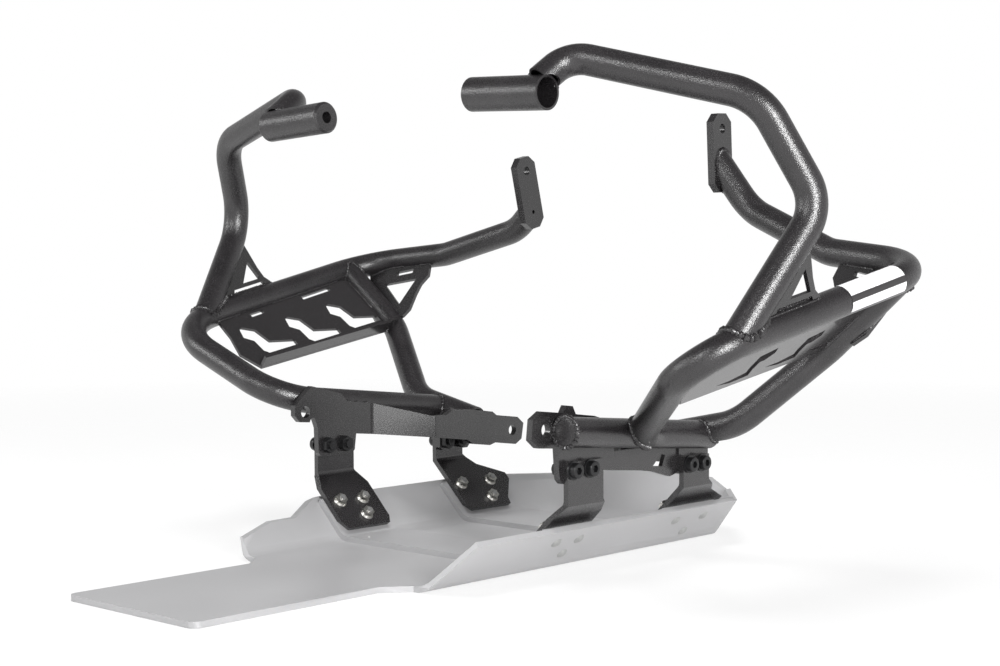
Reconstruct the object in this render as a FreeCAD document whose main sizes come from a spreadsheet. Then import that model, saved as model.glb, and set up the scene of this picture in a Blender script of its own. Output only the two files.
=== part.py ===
import FreeCAD, Part
import Sketcher
import math
import os

# Motorcycle crash bars: two mirrored halves of bent tube, bolted through four folded
# brackets to an aluminium skid pan. Millimetres. X runs to the right half, Y runs
# forward, Z runs up, and the origin is on the pan's underside.

Vector = FreeCAD.Vector
doc = FreeCAD.newDocument("crash_bars")
sheet = doc.addObject("Spreadsheet::Sheet", "Sizes")

SIZES = {
    "tube_outer": 25.4,
    "tube_wall": 2.0,
    "sleeve_outer": 28.6,
    "sleeve_wall": 2.0,
    "sleeve_inner_end": 93.0,
    "sleeve_length_right": 81.0,
    "sleeve_length_left": 75.0,
    "sleeve_back": -62.0,
    "sleeve_height_right": 403.0,
    "sleeve_height_left": 395.0,
    "sleeve_droop": 2.8,
    "plug_bore": 10.5,
    "plug_collar": 3.0,
    "plug_spigot": 16.0,
    "plug_chamfer": 2.0,
    "plate_gauge": 6.0,
    "plate_face": 148.0,
    "arm_face": 112.0,
    "ramp_start": 45.0,
    "ramp_end": 97.0,
    "plate_bend": 8.0,
    "frame_hole": 11.0,
    "tab_gauge": 8.0,
    "tab_face": 113.0,
    "tab_width": 29.0,
    "tab_length": 75.0,
    "tab_corner": 8.0,
    "tab_hole": 9.0,
    "vent_hole": 4.0,
    "gusset_gauge": 4.0,
    "panel_gauge": 3.0,
    "bracket_gauge": 5.0,
    "bracket_bend": 6.0,
    "bracket_foot": 17.0,
    "bolt_shank": 8.0,
    "bolt_clearance": 8.6,
    "bolt_head_flats": 13.0,
    "bolt_head_height": 5.3,
    "washer_outer": 16.0,
    "washer_gauge": 1.6,
    "bolt_nut_height": 6.5,
    "bolt_tail": 3.0,
    "screw_shank": 6.0,
    "screw_clearance": 6.4,
    "screw_head": 10.5,
    "screw_head_height": 2.6,
    "screw_nut_flats": 10.0,
    "screw_nut_height": 5.0,
    "screw_nut_flange": 13.6,
    "screw_nut_rim": 1.6,
    "screw_tail": 1.5,
    "pan_gauge": 5.0,
    "pan_half_width": 110.0,
    "pan_bend": 20.0,
    "wall_slope": 45.0,
    "wall_height": 43.0,
    "wall_rear": -118.0,
    "wall_rear_foot": -141.0,
    "front_fold": 265.0,
    "front_slope": 52.0,
    "front_height": 48.0,
    "front_half_width": 92.0,
    "facet_height": 40.0,
    "facet_floor_back": 17.0,
    "facet_wall_back": 34.0,
    "tongue_half_width": 81.0,
    "tongue_end": -345.0,
    "tongue_shoulder": -163.0,
    "tongue_corner": 8.0,
    "saddle_gauge": 5.0,
    "saddle_height": 38.0,
    "rear_saddle_start": -30.0,
    "rear_saddle_end": 38.0,
    "front_saddle_start": 133.0,
    "front_saddle_end": 212.0,
}
for row, (name, value) in enumerate(SIZES.items(), start=1):
    sheet.set("A%d" % row, name)
    sheet.set("B%d" % row, str(value))
    sheet.setAlias("B%d" % row, name)
doc.recompute()


def size(name):
    """A size read back from the sheet."""
    return float(sheet.get(name))


TUBE_RADIUS = size("tube_outer") / 2
BORE_RADIUS = TUBE_RADIUS - size("tube_wall")
PLATE_OUTER = size("plate_face") + size("plate_gauge")
ARM_OUTER = size("arm_face") + size("plate_gauge")
TAB_OUTER = size("tab_face") + size("tab_gauge")
RAIL_X = PLATE_OUTER + TUBE_RADIUS
SIDES = {"right": 1, "left": -1}
REACH = 1000.0

# Bend points of the bent tubes, each for its half, with x counted outwards.
# The two halves stand slightly apart in height, as they were set down.
MAIN_POINTS = {
    "right": [(RAIL_X, 166, 108), (RAIL_X, 67, 116), (321, -74, 190), (356, 223, 259),
              (245, 243, 272), (146, 262, 313), (112, 253, 364)],
    "left": [(RAIL_X, 166, 114), (RAIL_X, -58, 137), (320, -65, 200), (348, 223, 263),
             (243, 245, 273), (143, 251, 298), (112, 248, 324)],
}
MAIN_BENDS = {"right": [52.0, 38.0, 57.0, 52.0, 50.0], "left": [47.0, 65.0, 53.0, 52.0, 50.0]}
UPPER_POINTS = {
    "right": [(165, -60, 409), (175, -36, 430), (325, 12, 391), (357, 48, 307), (325, -22, 200)],
    "left": [(163, -60, 398), (171, -26, 420), (327, 10, 387), (357, 51, 308), (323, -22, 209)],
}
UPPER_BENDS = {"right": [25.0, 48.0, 36.0], "left": [25.0, 48.0, 47.0]}
STRUT_POINTS = {
    "right": [(348, 192, 252), (276, 193, 188), (201, 162, 120), (108, 163, 101)],
    "left": [(343, 190, 256), (275, 198, 195), (200, 159, 124), (108, 163, 102)],
}
STRUT_BENDS = {"right": [52.0, 51.0], "left": [52.0, 52.0]}


def vectors(points):
    """Points as vectors."""
    return [Vector(*point) for point in points]


def corner_arcs(points, radii):
    """Edges of a route with each inner point rounded by its own tangent arc."""
    edges = []
    start = points[0]
    for before, corner, after, radius in zip(points, points[1:], points[2:], radii):
        back = (before - corner).normalize()
        ahead = (after - corner).normalize()
        half = back.getAngle(ahead) / 2
        entry = corner + back * (radius / math.tan(half))
        leave = corner + ahead * (radius / math.tan(half))
        inward = (back + ahead).normalize()
        middle = corner + inward * (radius / math.sin(half) - radius)
        if (entry - start).Length > 1e-6:
            edges.append(Part.LineSegment(start, entry))
        edges.append(Part.Arc(entry, middle, leave))
        start = leave
    edges.append(Part.LineSegment(start, points[-1]))
    return edges


def rod(points, radii, radius):
    """A solid round bar along a route with rounded corners."""
    route = Part.Wire([edge.toShape() for edge in corner_arcs(points, radii)])
    circle = Part.Circle(points[0], points[1] - points[0], radius)
    profile = Part.Wire([circle.toShape()])
    return route.makePipeShell([profile], True, False)


def feature(label, shape):
    """An object that holds a worked-out shape."""
    item = doc.addObject("Part::Feature", label)
    item.Shape = shape
    return item


def box_between(low, high):
    """A box between two corners."""
    span = Vector(*high) - Vector(*low)
    return Part.makeBox(span.x, span.y, span.z, Vector(*low))


def flipped(shape, side):
    """The shape for its half: as it is on the right, mirrored on the left."""
    return shape if side > 0 else shape.mirror(Vector(0, 0, 0), Vector(1, 0, 0))


# Planes that the flat pieces are drawn on: a sketch's own x and y run along these.
ACROSS = FreeCAD.Rotation(Vector(0, 1, 0), Vector(0, 0, 1), Vector(1, 0, 0), "ZXY")
LENGTHWISE = FreeCAD.Rotation(Vector(1, 0, 0), Vector(0, 0, 1), Vector(0, -1, 0), "ZXY")


def drawn(label, outline, base, turn, circles=(), cutouts=()):
    """A sketch of closed outlines and circles, laid on a plane."""
    sketch = doc.addObject("Sketcher::SketchObject", label + "_sketch")
    sketch.Placement = FreeCAD.Placement(base, turn)
    for loop in [outline] + list(cutouts):
        if hasattr(loop[0], "StartPoint"):
            sketch.addGeometry(loop, False)
            continue
        corners = [Vector(x, y, 0) for x, y in loop]
        for start, end in zip(corners, corners[1:] + corners[:1]):
            sketch.addGeometry(Part.LineSegment(start, end), False)
    for x, y, diameter in circles:
        index = sketch.addGeometry(Part.Circle(Vector(x, y, 0), Vector(0, 0, 1), size(diameter) / 2), False)
        constraint = sketch.addConstraint(Sketcher.Constraint("Diameter", index, size(diameter)))
        sketch.setExpression("Constraints[%d]" % constraint, "Sizes." + diameter)
    return sketch


def pressed(label, sketch, gauge):
    """A flat piece: its sketch raised by a named gauge."""
    plate = doc.addObject("Part::Extrusion", label)
    plate.Base = sketch
    plate.DirMode = "Normal"
    plate.Solid = True
    plate.setExpression("LengthFwd", "Sizes." + gauge)
    return plate


def cut(label, base, tool):
    """One object less another."""
    result = doc.addObject("Part::Cut", label)
    result.Base = base
    result.Tool = tool
    return result


def common(label, base, tool):
    """What two objects share."""
    result = doc.addObject("Part::Common", label)
    result.Base = base
    result.Tool = tool
    return result


def mirrored(label, source):
    """The left-hand copy of a right-hand piece."""
    result = doc.addObject("Part::Mirroring", label)
    result.Source = source
    result.Base = Vector(0, 0, 0)
    result.Normal = Vector(1, 0, 0)
    return result


def whole(label, source):
    """The largest solid of an object, without the offcuts that lie beyond the tubes."""
    doc.recompute()
    return feature(label, max(source.Shape.Solids, key=lambda solid: solid.Volume))


nodes = {}

# The bent tubes. Each end is notched to the tube, sleeve or plate that it is welded to.
solid_bar = {}
for half, side in SIDES.items():
    main_points = vectors(MAIN_POINTS[half])
    upper_points = vectors(UPPER_POINTS[half])
    strut_points = vectors(STRUT_POINTS[half])
    solid_bar["main", half] = rod(main_points, MAIN_BENDS[half], TUBE_RADIUS)
    solid_bar["upper", half] = rod(upper_points, UPPER_BENDS[half], TUBE_RADIUS)
    solid_bar["strut", half] = rod(strut_points, STRUT_BENDS[half], TUBE_RADIUS)
    main_bore = rod(main_points, MAIN_BENDS[half], BORE_RADIUS)
    upper_bore = rod(upper_points, UPPER_BENDS[half], BORE_RADIUS)
    strut_bore = rod(strut_points, STRUT_BENDS[half], BORE_RADIUS)

    sleeve_axis = Vector(size("sleeve_inner_end"), size("sleeve_back"), size("sleeve_height_" + half))
    droop = math.radians(size("sleeve_droop"))
    sleeve_way = Vector(math.cos(droop), 0, -math.sin(droop))
    sleeve_notch = Part.makeCylinder(size("sleeve_outer") / 2, 3 * REACH / 10,
                                     sleeve_axis - sleeve_way * REACH / 10, sleeve_way)

    inside_tab = box_between((-REACH, -REACH, 0), (TAB_OUTER, REACH, REACH))
    inside_arm = box_between((-REACH, -REACH, 0), (ARM_OUTER, REACH, REACH))
    main = solid_bar["main", half].cut(main_bore)
    main = main.cut([solid_bar["strut", half], inside_tab])
    main = max(main.Solids, key=lambda solid: solid.Volume)
    upper = solid_bar["upper", half].cut(upper_bore).cut([solid_bar["main", half], sleeve_notch])
    upper = max(upper.Solids, key=lambda solid: solid.Volume)
    strut = solid_bar["strut", half].cut(strut_bore).cut([solid_bar["main", half], inside_arm])
    strut = max(strut.Solids, key=lambda solid: solid.Volume)
    nodes["main_bar_" + half] = feature("main_bar_" + half, flipped(main, side))
    nodes["upper_bar_" + half] = feature("upper_bar_" + half, flipped(upper, side))
    nodes["front_strut_" + half] = feature("front_strut_" + half, flipped(strut, side))

# The sleeves at the upper ends, each with a turned plug pressed into its inner end.
for half, side in SIDES.items():
    droop_turn = FreeCAD.Rotation(Vector(0, 0, 1), Vector(math.cos(math.radians(size("sleeve_droop"))), 0,
                                                           -math.sin(math.radians(size("sleeve_droop")))))
    sleeve_place = FreeCAD.Placement(Vector(size("sleeve_inner_end"), size("sleeve_back"),
                                            size("sleeve_height_" + half)), droop_turn)
    outside = doc.addObject("Part::Cylinder", "sleeve_outside_" + half)
    outside.setExpression("Radius", "Sizes.sleeve_outer / 2")
    outside.setExpression("Height", "Sizes.sleeve_length_" + half)
    outside.Placement = sleeve_place
    inside = doc.addObject("Part::Cylinder", "sleeve_inside_" + half)
    inside.setExpression("Radius", "Sizes.sleeve_outer / 2 - Sizes.sleeve_wall")
    inside.setExpression("Height", "Sizes.sleeve_length_" + half)
    inside.Placement = sleeve_place
    sleeve = cut("sleeve_tube_" + half, outside, inside)

    inner_radius = size("sleeve_outer") / 2 - size("sleeve_wall")
    collar_radius = size("sleeve_outer") / 2
    bore_radius = size("plug_bore") / 2
    collar = size("plug_collar")
    lip = size("plug_chamfer")
    profile = [(bore_radius, -collar), (collar_radius - lip, -collar), (collar_radius, lip - collar),
               (collar_radius, 0), (inner_radius, 0), (inner_radius, size("plug_spigot")),
               (bore_radius, size("plug_spigot"))]
    ring = Part.makePolygon([Vector(x, 0, z) for x, z in profile + profile[:1]])
    plug = Part.Face(ring).revolve(Vector(0, 0, 0), Vector(0, 0, 1), 360)
    plug.transformShape(sleeve_place.toMatrix())
    nodes["sleeve_plug_" + half] = feature("sleeve_plug_" + half, flipped(plug, side))
    nodes["sleeve_" + half] = sleeve if side > 0 else mirrored("sleeve_left_hand", sleeve)


# The tabs at the front upper ends: flat bars with cropped corners, welded to the tube's end.
TAB_LEAN = {"right": 3.0, "left": 14.0}
TAB_FOOT = {"right": (255.0, 330.0), "left": (248.0, 300.0)}
TUBE_ABOVE_FOOT = {"right": 21.0, "left": 17.0}
for half, side in SIDES.items():
    width = size("tab_width") / 2
    crop = size("tab_corner")
    length = size("tab_length")
    outline = [(-width + crop, 0), (width - crop, 0), (width, crop), (width, length - crop),
               (width - crop, length), (crop - width, length), (-width, length - crop), (-width, crop)]
    lean = FreeCAD.Rotation(Vector(1, 0, 0), TAB_LEAN[half])
    foot_y, foot_z = TAB_FOOT[half]
    tab_sketch = drawn("upper_tab_" + half, outline, Vector(size("tab_face"), foot_y, foot_z),
                       lean.multiply(ACROSS),
                       circles=[(0, length - width, "tab_hole"), (0, TUBE_ABOVE_FOOT[half], "vent_hole")])
    tab = pressed("upper_tab_plate_" + half, tab_sketch, "tab_gauge")
    nodes["upper_tab_" + half] = tab if side > 0 else mirrored("upper_tab_left_hand", tab)


# The lower plates: a rear part against the lower tube, a ramp inwards, and a front arm.
REAR_OUTLINE = {
    "right": [(20, 134), (-4, 137), (-8, 144), (-16, 145), (-20, 139), (-47, 142), (-58, 136), (-60, 119),
              (-51, 112), (-27, 110), (-25, 84), (-21, 80), (18, 80), (22, 84), (24, 99)],
    "left": [(13, 131), (5, 139), (-32, 148), (-49, 134), (-53, 131), (-53, 121), (-47, 115), (-35, 114),
             (-33, 118), (-29, 118), (-25, 108), (-24, 84), (-20, 80), (18, 80), (22, 84), (24, 99)],
}
FRONT_OUTLINE = [(45, 97), (95, 92), (142, 86), (151, 81), (175, 78), (183, 80), (214, 76), (223, 81),
                 (226, 97), (217, 104), (185, 108), (179, 112), (149, 116), (120, 117), (112, 113),
                 (95, 113), (46, 127)]
EAR_HOLE = {"right": (-42.0, 126.5), "left": (-40.0, 124.0)}
ARM_HOLE = (209.0, 91.0)
REAR_BOLTS = [(-13.8, 91.0), (7.4, 91.0)]
FRONT_BOLTS = [(147.0, 82.0), (166.0, 82.0)]


def ribbon(points, gauge, bend):
    """The closed edge loop of a folded strip: one face's line, and the other a gauge away."""
    offsets = []
    for index, point in enumerate(points):
        ways = []
        if index > 0:
            ways.append((point - points[index - 1]).normalize())
        if index < len(points) - 1:
            ways.append((points[index + 1] - point).normalize())
        normals = [Vector(-way.y, way.x, 0) for way in ways]
        bisector = (normals[0] + normals[-1]).normalize()
        offsets.append(point + bisector * (gauge / bisector.dot(normals[0])))
    near = corner_arcs(points, radii_for(points, bend, gauge))
    far = corner_arcs(offsets, radii_for(points, bend + gauge, -gauge))
    return near + [Part.LineSegment(points[-1], offsets[-1])] + far + [Part.LineSegment(offsets[0], points[0])]


def radii_for(points, radius, grow):
    """A bend radius for each inner point: larger by the gauge where the strip turns away."""
    radii = []
    for before, corner, after in zip(points, points[1:], points[2:]):
        turn = (corner - before).cross(after - corner).z
        radii.append(radius if turn > 0 else radius + grow)
    return radii


for half, side in SIDES.items():
    strip = [Vector(size("plate_face"), -REACH / 5, 0), Vector(size("plate_face"), size("ramp_start"), 0),
             Vector(size("arm_face"), size("ramp_end"), 0), Vector(size("arm_face"), REACH / 3, 0)]
    strip_sketch = doc.addObject("Sketcher::SketchObject", "lower_plate_strip_" + half)
    strip_sketch.addGeometry(ribbon(strip, -size("plate_gauge"), size("plate_bend")), False)
    strip_sheet = doc.addObject("Part::Extrusion", "lower_plate_sheet_" + half)
    strip_sheet.Base = strip_sketch
    strip_sheet.DirMode = "Normal"
    strip_sheet.LengthFwd = REACH / 4
    strip_sheet.Solid = True
    ear_y, ear_z = EAR_HOLE[half]
    holes = [(ear_y, ear_z, "frame_hole"), ARM_HOLE + ("frame_hole",)]
    holes += [bolt + ("bolt_clearance",) for bolt in REAR_BOLTS]
    profile = drawn("lower_plate_profile_" + half, REAR_OUTLINE[half] + FRONT_OUTLINE,
                    Vector(0, 0, 0), ACROSS, circles=holes)
    profile_block = doc.addObject("Part::Extrusion", "lower_plate_block_" + half)
    profile_block.Base = profile
    profile_block.DirMode = "Normal"
    profile_block.LengthFwd = REACH / 4
    profile_block.Solid = True
    plate = common("lower_plate_form_" + half, strip_sheet, profile_block)
    nodes["lower_plate_" + half] = plate if side > 0 else mirrored("lower_plate_left_hand", plate)


# The front legs: short plates under the joint of the lower tube and the strut.
LEG_OUTLINE = [(139, 76), (143, 73), (179, 73), (183, 77), (183, 103), (139, 106)]
for half, side in SIDES.items():
    leg_sketch = drawn("front_leg_" + half, LEG_OUTLINE, Vector(size("plate_face"), 0, 0), ACROSS,
                       circles=[bolt + ("bolt_clearance",) for bolt in FRONT_BOLTS])
    leg_plate = pressed("front_leg_plate_" + half, leg_sketch, "plate_gauge")
    tubes = feature("front_leg_notch_" + half, solid_bar["main", half].fuse(solid_bar["strut", half]))
    leg = cut("front_leg_form_" + half, leg_plate, tubes)
    nodes["front_leg_" + half] = leg if side > 0 else mirrored("front_leg_left_hand", leg)


def tripod(origin, along, towards):
    """A turn whose x runs along one way and whose y leans towards a point."""
    first = (along - origin).normalize()
    normal = first.cross(towards - origin).normalize()
    return FreeCAD.Rotation(first, normal.cross(first), normal, "XYZ")


# The gussets and guard panel on each half: laser-cut sheet between the tubes.
REAR_GUSSET = [(22, 8), (100, 8), (98, 15), (92, 21), (88, 32), (85, 46), (82, 60), (62, 60)]
REAR_GUSSET_HOLE = [(78, 42), (61, 21), (86, 21)]
REAR_GUSSET_SLOT = [(44, 13), (46, 17), (88, 17), (90, 13)]
FRONT_GUSSET = [(10, 8), (92, 8), (93, 26), (85, 36), (81, 48), (77, 66), (70, 74), (40, 84), (30, 73)]
FRONT_GUSSET_HOLE = [(37, 32), (78, 29), (62, 59)]
FRONT_GUSSET_SLOT = [(50, 18), (51, 23), (71, 21), (72, 16)]
PANEL = [(52, 8), (285, 8), (276, 60), (262, 97), (50, 83), (40, 60), (48, 36)]
CHEVRON = [(0, 0), (5, -2), (17, 6), (21, 25), (49, 34), (48, 41), (8, 39), (4, 34), (4, 19), (-4, 11)]
CHEVRON_PLACES = [(65, 31), (127, 37), (189, 39)]
PANEL_SLOTS = [(93, 111), (171, 214)]
SLOT_LOW = 16.5
SLOT_HIGH = 21.0
REAR_GUSSET_PLACE = 0.17


for half, side in SIDES.items():
    main_points = vectors(MAIN_POINTS[half])
    upper_points = vectors(UPPER_POINTS[half])
    strut_points = vectors(STRUT_POINTS[half])
    corner_rear, corner_front, front_inner = main_points[2], main_points[3], main_points[4]
    strut_knee = strut_points[1]
    all_bars = feature("bars_" + half, solid_bar["main", half].fuse([solid_bar["upper", half],
                                                                     solid_bar["strut", half]]))
    foot = corner_rear + (corner_front - corner_rear) * REAR_GUSSET_PLACE
    rear_sketch = drawn("rear_gusset_" + half, REAR_GUSSET, foot,
                        tripod(foot, corner_front, upper_points[3]),
                        cutouts=[REAR_GUSSET_HOLE, REAR_GUSSET_SLOT])
    rear_sheet = pressed("rear_gusset_sheet_" + half, rear_sketch, "gusset_gauge")
    rear_gusset = whole("rear_gusset_form_" + half, cut("rear_gusset_notched_" + half, rear_sheet, all_bars))
    front_sketch = drawn("front_gusset_" + half, FRONT_GUSSET, corner_front,
                         tripod(corner_front, front_inner, strut_knee),
                         cutouts=[FRONT_GUSSET_HOLE, FRONT_GUSSET_SLOT])
    front_sheet = pressed("front_gusset_sheet_" + half, front_sketch, "gusset_gauge")
    front_gusset = whole("front_gusset_form_" + half, cut("front_gusset_notched_" + half, front_sheet, all_bars))
    panel_turn = tripod(corner_rear, corner_front, strut_knee)
    cutouts = [[(x + u, y + v) for u, v in CHEVRON] for x, y in CHEVRON_PLACES]
    cutouts += [[(start, SLOT_LOW), (start, SLOT_HIGH), (end, SLOT_HIGH), (end, SLOT_LOW)]
                for start, end in PANEL_SLOTS]
    panel_sketch = drawn("guard_panel_" + half, PANEL, corner_rear, panel_turn, cutouts=cutouts)
    panel_sheet = pressed("guard_panel_sheet_" + half, panel_sketch, "panel_gauge")
    panel = whole("guard_panel_form_" + half, cut("guard_panel_notched_" + half, panel_sheet, all_bars))
    for name, piece in (("rear_gusset_", rear_gusset), ("front_gusset_", front_gusset),
                        ("guard_panel_", panel)):
        nodes[name + half] = piece if side > 0 else mirrored(name + "left_hand", piece)


# The right half's extra length of tube behind the bend, between the plate and the main bar.
stub_points = vectors([(RAIL_X, -32, 124.8), (RAIL_X, 74, 115.8)])
stub = rod(stub_points, [], TUBE_RADIUS).cut(rod(stub_points, [], BORE_RADIUS))
stub = stub.cut(solid_bar["main", "right"])
stub = max(stub.Solids, key=lambda solid: solid.Volume)
nodes["rear_stub_right"] = feature("rear_stub_right", stub)


# The skid pan: one folded sheet. Each face is a plane, and the sheet is what lies between
# the outer planes and the same planes moved in by the gauge.
def pan_solid(inset):
    """The trough's block, open at the top, with every face moved in by the inset."""
    slope = math.radians(size("wall_slope"))
    rise = math.radians(size("front_slope"))
    floor = inset
    shift_side = inset / math.sin(slope) - inset / math.tan(slope)
    shift_front = inset / math.sin(rise) - inset / math.tan(rise)
    fold_side = size("pan_half_width") + PAN_SIDE_SHIFT - shift_side
    fold_front = size("front_fold") + PAN_FRONT_SHIFT - shift_front
    top = 2 * size("wall_height")
    out_side = (top - floor) / math.tan(slope)
    out_front = (top - floor) / math.tan(rise)
    low = [Vector(-fold_side, -REACH / 5, floor), Vector(fold_side, -REACH / 5, floor),
           Vector(fold_side, fold_front, floor), Vector(-fold_side, fold_front, floor)]
    high = [Vector(-fold_side - out_side, -REACH / 5, top), Vector(fold_side + out_side, -REACH / 5, top),
            Vector(fold_side + out_side, fold_front + out_front, top),
            Vector(-fold_side - out_side, fold_front + out_front, top)]
    rings = [Part.makePolygon(low + low[:1]), Part.makePolygon(high + high[:1])]
    return Part.makeLoft(rings, True, True)


PAN_SIDE_SHIFT = size("pan_gauge") * (1 / math.sin(math.radians(size("wall_slope")))
                                      - 1 / math.tan(math.radians(size("wall_slope"))))
PAN_FRONT_SHIFT = size("pan_gauge") * (1 / math.sin(math.radians(size("front_slope")))
                                       - 1 / math.tan(math.radians(size("front_slope"))))


def rounded_trough(inset, bend):
    """The trough's block with its two long folds rounded, if it has any."""
    block = pan_solid(inset)
    folds = [edge for edge in block.Edges
             if abs(edge.BoundBox.ZMax - inset) < 1e-6 and edge.BoundBox.YLength > 1 and edge.BoundBox.XLength < 1]
    return block.makeFillet(bend, folds)


def facet_cutter(inset):
    """What lies beyond the two small corner facets at the front."""
    fold_side = size("pan_half_width")
    wall_out = (size("wall_height") - size("pan_gauge")) / math.tan(math.radians(size("wall_slope")))
    ramp_ahead = size("front_height") / math.tan(math.radians(size("front_slope")))
    cutters = []
    for side in SIDES.values():
        low = Vector(side * fold_side, size("front_fold") - size("facet_floor_back"), size("pan_gauge"))
        wall_top = Vector(side * (fold_side + wall_out), size("front_fold") - size("facet_wall_back"),
                          size("wall_height"))
        front_top = Vector(side * size("front_half_width"), size("front_fold") + ramp_ahead, size("front_height"))
        normal = (wall_top - low).cross(front_top - low).normalize()
        if normal.x * side < 0:
            normal = normal * -1
        base = low + normal * (size("pan_gauge") - inset)
        turn = FreeCAD.Rotation(Vector(0, 0, 1), normal)
        block = Part.makeBox(REACH, REACH, REACH, Vector(-REACH / 2, -REACH / 2, 0))
        block.Placement = FreeCAD.Placement(base, turn)
        cutters.append(block)
    return cutters


outer_block = rounded_trough(0, size("pan_bend") + size("pan_gauge")).cut(facet_cutter(0))
inner_block = rounded_trough(size("pan_gauge"), size("pan_bend")).cut(facet_cutter(size("pan_gauge")))
saddle_block = rounded_trough(size("pan_gauge") + size("saddle_gauge"), size("pan_bend") - size("saddle_gauge"))
trough = outer_block.cut(inner_block)


def square_top(height):
    """What lies above the walls' square-cut top edges."""
    slope = math.radians(size("wall_slope"))
    cutters = []
    for side in SIDES.values():
        inner_top = Vector(side * (size("pan_half_width") + (height - size("pan_gauge")) / math.tan(slope)), 0, height)
        way = Vector(side * math.cos(slope), 0, math.sin(slope))
        block = Part.makeBox(REACH, 2 * REACH, REACH, Vector(-REACH / 2, -REACH, 0))
        block.Placement = FreeCAD.Placement(inner_top, FreeCAD.Rotation(Vector(0, 0, 1), way))
        cutters.append(block)
    return cutters


def prism_along_x(points):
    """A block as wide as the part whose side view has the given corners."""
    ring = Part.makePolygon([Vector(-REACH, y, z) for y, z in points + points[:1]])
    return Part.Face(ring).extrude(Vector(2 * REACH, 0, 0))


half_floor = size("pan_half_width") - size("pan_bend") / 2
rear_cut = prism_along_x([(-REACH, -REACH), (size("wall_rear_foot"), -REACH), (size("wall_rear_foot"), size("pan_gauge")),
                          (size("wall_rear"), size("wall_height") + 2), (size("wall_rear"), REACH), (-REACH, REACH)])
facet_start = size("front_fold") - size("facet_wall_back")
front_top_cut = box_between((-REACH, facet_start, size("front_height")), (REACH, REACH, REACH))
facet_top_cut = box_between((size("front_half_width"), facet_start, size("facet_height")), (REACH, REACH, REACH))
facet_top_cuts = [facet_top_cut, facet_top_cut.mirror(Vector(0, 0, 0), Vector(1, 0, 0))]
trough = trough.cut([rear_cut, front_top_cut] + facet_top_cuts + square_top(size("wall_height")))
trough = max(trough.Solids, key=lambda solid: solid.Volume)

shoulder = [(-half_floor, size("wall_rear_foot") + 1), (-size("tongue_half_width"), size("tongue_shoulder")),
            (-size("tongue_half_width"), size("tongue_end")), (size("tongue_half_width"), size("tongue_end")),
            (size("tongue_half_width"), size("tongue_shoulder")), (half_floor, size("wall_rear_foot") + 1)]
tongue_ring = Part.makePolygon([Vector(x, y, 0) for x, y in shoulder + shoulder[:1]])
tongue = Part.Face(tongue_ring).extrude(Vector(0, 0, size("pan_gauge")))
rear_corners = [edge for edge in tongue.Edges
                if edge.BoundBox.ZLength > 1 and abs(edge.BoundBox.YMin - size("tongue_end")) < 1e-6]
tongue = tongue.makeFillet(size("tongue_corner"), rear_corners)
pan = trough.fuse(tongue).removeSplitter()

# The screws go square through the 45 degree walls: pan, saddle and bracket foot.
SCREWS = {
    "rear": [(-13.7, 28.5), (15.4, 28.5), (8.4, 15.5)],
    "front": [(151.6, 28.8), (193.9, 28.8), (181.7, 14.4)],
}
slope = math.radians(size("wall_slope"))
OUTWARD = Vector(math.sin(slope), 0, -math.cos(slope))
screw_seats = []
for places in SCREWS.values():
    for y, z in places:
        x = size("pan_half_width") + PAN_SIDE_SHIFT + z / math.tan(slope)
        screw_seats.append(Vector(x, y, z))
screw_holes = []
for seat in screw_seats:
    start = seat + OUTWARD * REACH / 50
    hole = Part.makeCylinder(size("screw_clearance") / 2, REACH / 20, start, OUTWARD * -1)
    screw_holes += [hole, hole.mirror(Vector(0, 0, 0), Vector(1, 0, 0))]
nodes["skid_pan"] = feature("skid_pan", pan.cut(screw_holes))

# The two saddles: bent straps that line the pan where the brackets are screwed down.
for place in ("rear", "front"):
    band = box_between((-REACH, size(place + "_saddle_start"), 0), (REACH, size(place + "_saddle_end"), REACH))
    saddle = inner_block.common(band).cut([saddle_block] + square_top(size("saddle_height")))
    saddle = max(saddle.Solids, key=lambda solid: solid.Volume)
    nodes[place + "_saddle"] = feature(place + "_saddle", saddle.cut(screw_holes))

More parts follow.
